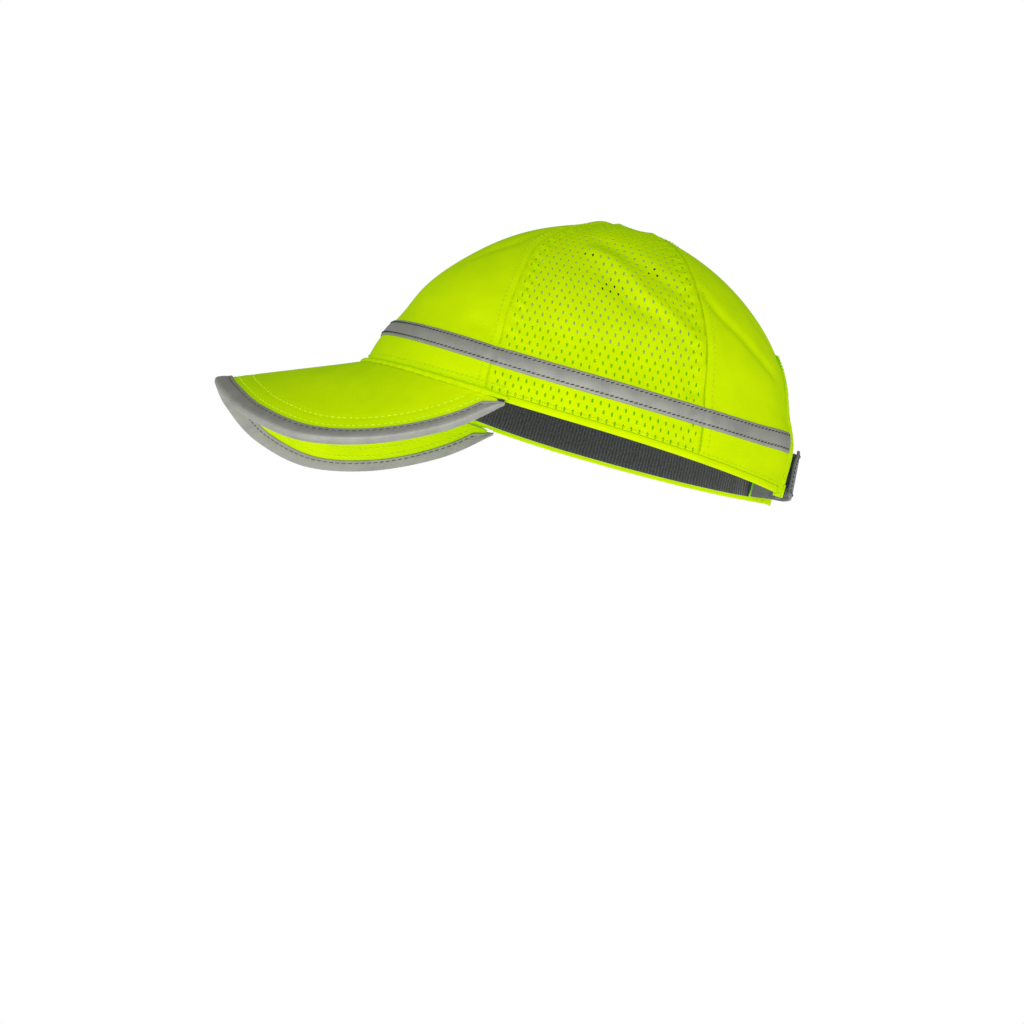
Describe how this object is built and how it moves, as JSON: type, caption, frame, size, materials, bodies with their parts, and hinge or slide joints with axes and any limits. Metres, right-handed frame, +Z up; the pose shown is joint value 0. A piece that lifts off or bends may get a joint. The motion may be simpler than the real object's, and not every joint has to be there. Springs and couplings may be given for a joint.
{
  "type": "bump cap",
  "caption": "High-visibility bump cap with a panelled fabric crown, mesh sides, curved visor, protective inner shell and rear hook-and-loop strap.",
  "frame": {"origin": "centre of the bottom of the cap's box, on the surface it stands on", "axes": "+Z up, -Y forward to the visor, +X to the wearer's left; the cap stands on its visor edges and rear hem, so its hem plane leans 11.3 degrees back"},
  "size_m": [0.1758, 0.288, 0.126],
  "materials": {
    "lime_twill": "matte",
    "lime_mesh": "matte",
    "reflective_silver": "satin",
    "strap_webbing": "matte",
    "hook_and_loop": "matte",
    "sweatband_terry": "matte",
    "shell_plastic": "satin",
    "eva_foam": "matte",
    "button_cover": "matte",
    "visor_board_plastic": "matte",
    "rivet_steel": "satin"
  },
  "bodies": {
    "cap": {"front_panel_left": "lime_twill", "front_panel_right": "lime_twill", "side_mesh_left": "lime_mesh", "side_mesh_right": "lime_mesh", "rear_panel_left": "lime_twill", "rear_panel_right": "lime_twill", "reflective_tape": "reflective_silver", "hem_binding_left": "lime_twill", "hem_binding_right": "lime_twill", "rear_arch_binding": "lime_twill", "sweatband": "sweatband_terry", "seam_tape_front_centre": "lime_twill", "seam_tape_front_left": "lime_twill", "seam_tape_front_right": "lime_twill", "seam_tape_rear_left": "lime_twill", "seam_tape_rear_right": "lime_twill", "seam_tape_rear_centre": "lime_twill", "top_button": "button_cover", "button_rivet": "rivet_steel", "visor_board": "visor_board_plastic", "visor_top_cover": "lime_twill", "visor_under_cover": "lime_twill", "visor_binding": "reflective_silver", "loop_strap": "strap_webbing", "loop_patch": "hook_and_loop", "strap_base_right": "strap_webbing"},
    "hook_tab": {"hook_strap": "strap_webbing", "hook_patch": "hook_and_loop"},
    "shell": {"protective_shell": "shell_plastic", "crown_pad": "eva_foam", "front_pad": "eva_foam", "side_pad_left": "eva_foam", "side_pad_right": "eva_foam", "rear_pad": "eva_foam"}
  },
  "joints": [
    {"name": "strap_peel", "type": "hinge", "parent": "cap", "child": "hook_tab", "pos_m": [-0.02484, 0.13392, 0.01291], "axis": [0.0298, 0.0248, 0.9992], "range_deg": [0, 80]},
    {"name": "shell_release", "type": "slide", "parent": "cap", "child": "shell", "axis": [0, -0.1959, -0.9806], "range_m": [0, 0.13]}
  ]
}
